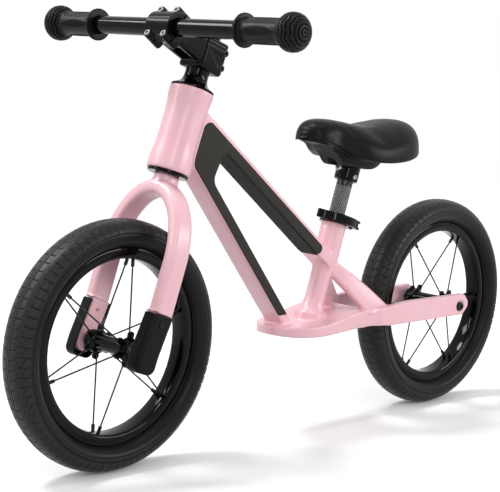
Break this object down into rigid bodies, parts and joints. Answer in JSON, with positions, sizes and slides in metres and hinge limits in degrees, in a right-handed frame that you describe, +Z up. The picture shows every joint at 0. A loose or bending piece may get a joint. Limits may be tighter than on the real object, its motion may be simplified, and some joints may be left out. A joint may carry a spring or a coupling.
{
  "type": "balance bike",
  "caption": "Child's pedal-less balance bike: cast V frame with a footrest between column and stays, straight-legged fork, spoked wheels with air tyres, and a height-adjustable saddle.",
  "frame": {"origin": "on the ground, midway between the axles, in the middle plane", "axes": "+X towards the front wheel, +Y to the rider's left, +Z up"},
  "size_m": [0.926, 0.4426, 0.5569],
  "materials": {
    "pink_paint": "satin",
    "grey_inlay": "matte",
    "tyre_rubber": "matte",
    "black_rubber": "matte",
    "black_alloy": "gloss",
    "black_satin_metal": "satin",
    "black_gloss_metal": "gloss",
    "black_plastic": "matte",
    "black_cover": "satin",
    "black_steel": "satin",
    "bright_steel": "satin"
  },
  "bodies": {
    "frame": {"frame": "pink_paint", "frame_inlay_left": "grey_inlay", "frame_inlay_right": "grey_inlay", "headset_bearing_lower": "bright_steel", "headset_bearing_upper": "bright_steel", "seat_collar": "black_gloss_metal", "quick_release_bolt": "bright_steel", "quick_release_nut": "black_gloss_metal", "quick_release_washer": "black_plastic", "rear_axle": "bright_steel", "rear_axle_spacers": "bright_steel", "rear_axle_washers": "bright_steel", "rear_axle_bolts": "black_steel"},
    "fork": {"fork_crown_seal": "black_rubber", "headset_cover": "black_gloss_metal", "steerer_tube": "bright_steel", "fork": "pink_paint", "fork_cover_left": "black_plastic", "fork_cover_right": "black_plastic", "fork_cover_screws": "black_steel", "stem": "black_satin_metal", "stem_faceplate": "black_satin_metal", "stem_faceplate_bolts": "black_steel", "stem_pinch_bolts": "black_steel", "stem_top_cap": "black_gloss_metal", "stem_top_cap_bolt": "black_steel", "steerer_star_nut": "bright_steel", "handlebar": "black_satin_metal", "grip_left": "black_rubber", "grip_right": "black_rubber", "front_axle": "bright_steel", "front_axle_spacers": "bright_steel", "front_axle_washers": "bright_steel", "front_axle_bolts": "black_steel"},
    "front_wheel": {"front_tyre": "tyre_rubber", "front_inner_tube": "black_rubber", "front_valve": "black_rubber", "front_rim": "black_alloy", "front_spokes": "black_steel", "front_spoke_nipples": "black_steel", "front_hub_shell": "black_alloy", "front_hub_bearings": "bright_steel"},
    "rear_wheel": {"rear_tyre": "tyre_rubber", "rear_inner_tube": "black_rubber", "rear_valve": "black_rubber", "rear_rim": "black_alloy", "rear_spokes": "black_steel", "rear_spoke_nipples": "black_steel", "rear_hub_shell": "black_alloy", "rear_hub_bearings": "bright_steel"},
    "seat": {"seat_post": "black_satin_metal", "saddle_clamp": "black_satin_metal", "saddle_clamp_bolts": "bright_steel", "saddle_bolt": "bright_steel", "saddle_base": "black_plastic", "saddle_pad": "black_cover"},
    "lever": {"quick_release_lever": "black_gloss_metal"}
  },
  "joints": [
    {"name": "steering", "type": "hinge", "parent": "frame", "child": "fork", "pos_m": [0.23335, 0, 0.35898], "axis": [-0.3239, 0, 0.9461], "range_deg": [-90, 90]},
    {"name": "front_wheel_spin", "type": "hinge", "parent": "fork", "child": "front_wheel", "pos_m": [0.31, 0, 0.153], "axis": [0, 1, 0], "continuous": true},
    {"name": "rear_wheel_spin", "type": "hinge", "parent": "frame", "child": "rear_wheel", "pos_m": [-0.31, 0, 0.153], "axis": [0, 1, 0], "continuous": true},
    {"name": "seat_height", "type": "slide", "parent": "frame", "child": "seat", "axis": [-0.2957, 0, 0.9553], "range_m": [-0.03, 0.04]},
    {"name": "quick_release_lever_turn", "type": "hinge", "parent": "frame", "child": "lever", "pos_m": [-0.10672, 0.017, 0.27892], "axis": [-0.2957, 0, 0.9553], "range_deg": [0, 150]}
  ]
}
